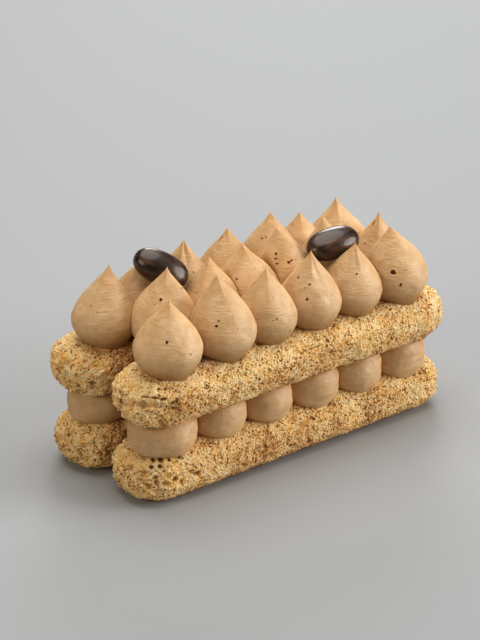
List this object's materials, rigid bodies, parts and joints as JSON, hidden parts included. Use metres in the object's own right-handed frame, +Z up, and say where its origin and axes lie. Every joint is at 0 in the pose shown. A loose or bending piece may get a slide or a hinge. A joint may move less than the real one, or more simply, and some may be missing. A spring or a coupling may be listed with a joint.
{
  "type": "ladyfinger mille feuille slice",
  "caption": "Layered ladyfinger biscuits with piped coffee cream between them, topped with pointed cream dollops and chocolate coffee beans.",
  "frame": {"origin": "on the surface that the slice stands on, in the middle of its bounding box in plan", "axes": "+X along the biscuits, to the right as the shown long side is faced; -Y towards that shown side; +Z up"},
  "size_m": [0.1094, 0.0485, 0.0595],
  "materials": {
    "sponge": "dry golden baked crumb with pale grains and small brown pits",
    "cream": "soft satin coffee cream with fine piping ridges and small air holes",
    "chocolate": "glossy dark chocolate with fine lengthwise streaks"
  },
  "bodies": {
    "root": {"biscuit_lower_front": "sponge", "biscuit_lower_back": "sponge", "biscuit_upper_front": "sponge", "biscuit_upper_back": "sponge", "filling_front_1": "cream", "filling_front_2": "cream", "filling_front_3": "cream", "filling_front_4": "cream", "filling_front_5": "cream", "filling_front_6": "cream", "filling_back_1": "cream", "filling_back_2": "cream", "filling_back_3": "cream", "filling_back_4": "cream", "filling_back_5": "cream", "filling_back_6": "cream", "dollop_front_1": "cream", "dollop_front_2": "cream", "dollop_front_3": "cream", "dollop_front_4": "cream", "dollop_front_5": "cream", "dollop_front_6": "cream", "dollop_middle_1": "cream", "dollop_middle_2": "cream", "dollop_middle_3": "cream", "dollop_middle_4": "cream", "dollop_middle_5": "cream", "dollop_middle_6": "cream", "dollop_back_1": "cream", "dollop_back_2": "cream", "dollop_back_3": "cream", "dollop_back_4": "cream", "dollop_back_5": "cream", "dollop_back_6": "cream", "dollop_back_7": "cream", "coffee_bean_left": "chocolate", "coffee_bean_right": "chocolate"}
  },
  "joints": []
}
